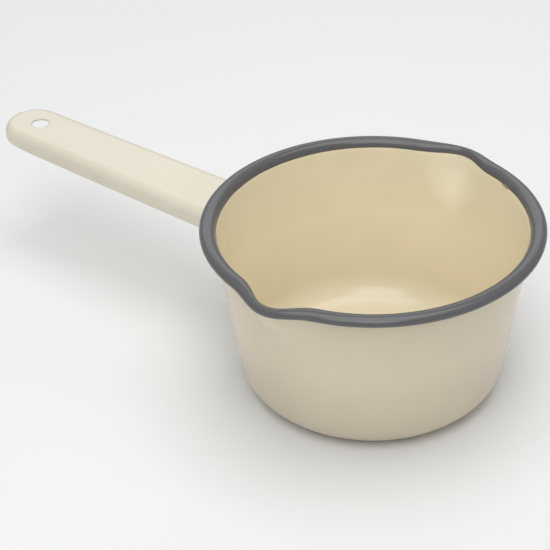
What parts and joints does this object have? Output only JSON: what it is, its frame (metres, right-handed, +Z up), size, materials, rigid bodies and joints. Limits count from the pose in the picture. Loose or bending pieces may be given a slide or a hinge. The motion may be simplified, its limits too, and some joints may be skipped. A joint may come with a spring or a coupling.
{
  "type": "enamelled milk pan",
  "caption": "Small round saucepan with a rounded foot, a rolled rim, two opposite pouring lips and a long open-backed handle with a hanging hole.",
  "frame": {"origin": "centre of the base, on the face that the pan stands on", "axes": "+Z up along the pan's axis; the handle runs along -X; the pouring lips are at +Y and -Y"},
  "size_m": [0.3029, 0.1612, 0.0836],
  "materials": {
    "cream_enamel": "glossy cream vitreous enamel on steel",
    "grey_enamel": "glossy dark grey vitreous enamel on steel"
  },
  "bodies": {
    "root": {"pan_body": "cream_enamel", "rim_bead": "grey_enamel", "handle_channel": "cream_enamel", "handle_weld": "cream_enamel"}
  },
  "joints": []
}
